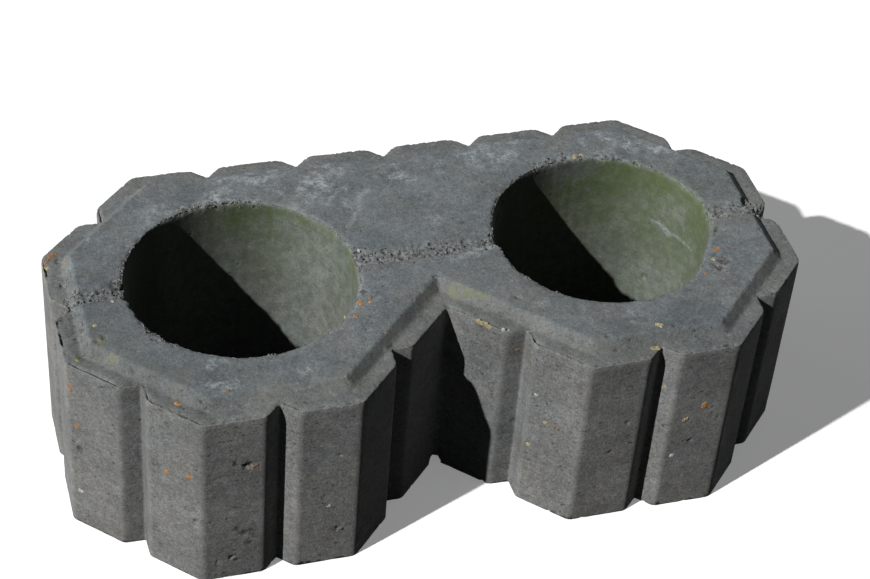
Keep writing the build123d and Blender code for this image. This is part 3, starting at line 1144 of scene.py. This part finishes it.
grit_chances = {name: masks[name] ** 3 * (masks["facing_up"] + 0.2) for name in grit_runs}
grit_chances["worn_edge"] = grit_chances["worn_edge"] * wear * stain(places, picture_rubble)
print("grains wanted:", sum(run[0] for run in grit_runs.values()))

# %% Grit
grit_corners, grit_faces, grit_tints = [], [], []
for name, (count, smallest, typical, largest) in grit_runs.items():
    chance = grit_chances[name] / grit_chances[name].sum()
    for number in random_draw.choice(len(places), count, p=chance):
        radius = min(smallest + random_draw.exponential(typical), largest)
        turn = np.array(Quaternion(random_draw.normal(size=4)).normalized().to_matrix())
        corners = ball_corners * random_draw.uniform(0.8, 1.2, (len(ball_corners), 1))
        corners = corners * random_draw.uniform(0.7, 1.15, 3) @ turn * radius
        grit_faces.append(ball_faces + len(grit_corners) * len(ball_corners))
        grit_corners.append(places[number] + corners)
        shade = DARK_GRIT + (PALE_GRIT - DARK_GRIT) * random_draw.beta(1.6, 2.2)
        grit_tints.append(np.tile((*shade, 1.0), (len(ball_corners), 1)))

grit_mesh = bpy.data.meshes.new("loose_grit")
grit_mesh.from_pydata((np.concatenate(grit_corners) * MM).tolist(), [], np.concatenate(grit_faces).tolist())
tints = grit_mesh.attributes.new("tint", "FLOAT_COLOR", "POINT")
tints.data.foreach_set("color", np.concatenate(grit_tints).astype(np.float32).ravel())
grit_mesh.materials.append(crust_finish)
grit = put("loose_grit", grit_mesh)
print("grains:", len(grit_corners), "with", len(grit_mesh.polygons), "faces")

# %% [markdown]
# The stage is a pale floor that keeps the shadow of the block. The camera sees the floor as white, with a
# faint glow of its own, and so do rays by way of gloss or glass. The rays that carry plain light see it dark,
# so that it doesn't brighten the lower faces. The room around it is made in the same way.

# %% Floor and backdrop
FLOOR_SIZE = 12.0
floor_mesh = bpy.data.meshes.new("floor")
half = FLOOR_SIZE / 2
floor_corners = [(-half, -half, 0), (half, -half, 0), (half, half, 0), (-half, half, 0)]
floor_mesh.from_pydata(floor_corners, [], [(0, 1, 2, 3)])
floor = put("floor", floor_mesh)


def seen_ray(tree):
    """1 for rays from the camera, or by way of gloss or glass."""
    path = tree.nodes.new("ShaderNodeLightPath").outputs
    seen = sum_of("MAXIMUM", path["Is Camera Ray"], path["Is Glossy Ray"])
    return sum_of("MAXIMUM", seen, path["Is Transmission Ray"])


floor_finish, tree, shader, _ = new_material("pale_floor")
seen_floor = seen_ray(tree)
fill(shader, {
    "Base Color": mix(seen_floor, grey(0.02), grey(0.98)),
    "Emission Color": mix(seen_floor, grey(0.0), grey(0.22)),
    "Emission Strength": 1.0,
    "Roughness": 0.9,
    "Specular IOR Level": 0.0,
})
floor_mesh.materials.append(floor_finish)
print("floor is", FLOOR_SIZE, "m wide")

# %% Light of the room
world = bpy.data.worlds.new("studio")
bpy.context.scene.world = world
world.use_nodes = True
tree = world.node_tree
ROOM_LIGHT = (0.022, 0.024, 0.027, 1)
fill(tree.nodes["Background"], {"Color": mix(seen_ray(tree), ROOM_LIGHT, grey(1.0))})
print("room light:", ROOM_LIGHT[:3])

# %% [markdown]
# The key light stands to the left, a little in front and well above, as the sun did in the picture. It is
# slightly wider than the sun, which softens its shadows. Two low, wide lamps behind the block light the faces
# that the picture does not show. They are low so that they stay out of the wells.

# %% Lamps
KEY_TURN, KEY_HEIGHT = math.radians(23), math.radians(39.5)
key_travel = Vector((
    math.cos(KEY_TURN) * math.cos(KEY_HEIGHT),
    math.sin(KEY_TURN) * math.cos(KEY_HEIGHT),
    -math.sin(KEY_HEIGHT),
))
key_data = bpy.data.lights.new("key", "SUN")
key_data.energy = 4.2
key_data.angle = math.radians(1.0)
key_data.color = (1.0, 0.992, 0.978)
key = put("key", key_data)
key.rotation_mode = "QUATERNION"
key.rotation_quaternion = key_travel.to_track_quat("-Z", "Y")

LAMP_AIM = Vector((0, 0, 0.1))
LAMP_WIDTH, LAMP_HEIGHT = 1.6, 0.3
low_lamps = {
    # place in metres, power in watts
    "back_left": ((-1.8, 1.3, 0.2), 16.0),
    "back_right": ((1.5, 1.6, 0.2), 4.0),
}
for name, (spot, power) in low_lamps.items():
    lamp_data = bpy.data.lights.new(name, "AREA")
    lamp_data.shape = "RECTANGLE"
    lamp_data.size = LAMP_WIDTH
    lamp_data.size_y = LAMP_HEIGHT
    lamp_data.energy = power
    lamp = put(name, lamp_data)
    lamp.location = spot
    lamp.rotation_mode = "QUATERNION"
    lamp.rotation_quaternion = (LAMP_AIM - lamp.location).to_track_quat("-Z", "Y")

bpy.context.scene.view_settings.view_transform = "Standard"
print("lamps:", key.name, *low_lamps)

# %% [markdown]
# Last, each piece is tied to the frame: the worn block stands for the exact casting, and the crusts and the
# grit ride on the same body.

# %% Tie the pieces to the frame and finish
casting.free()
for piece in (block, crusts, grit):
    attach(piece, "root")
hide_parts("planter_block")
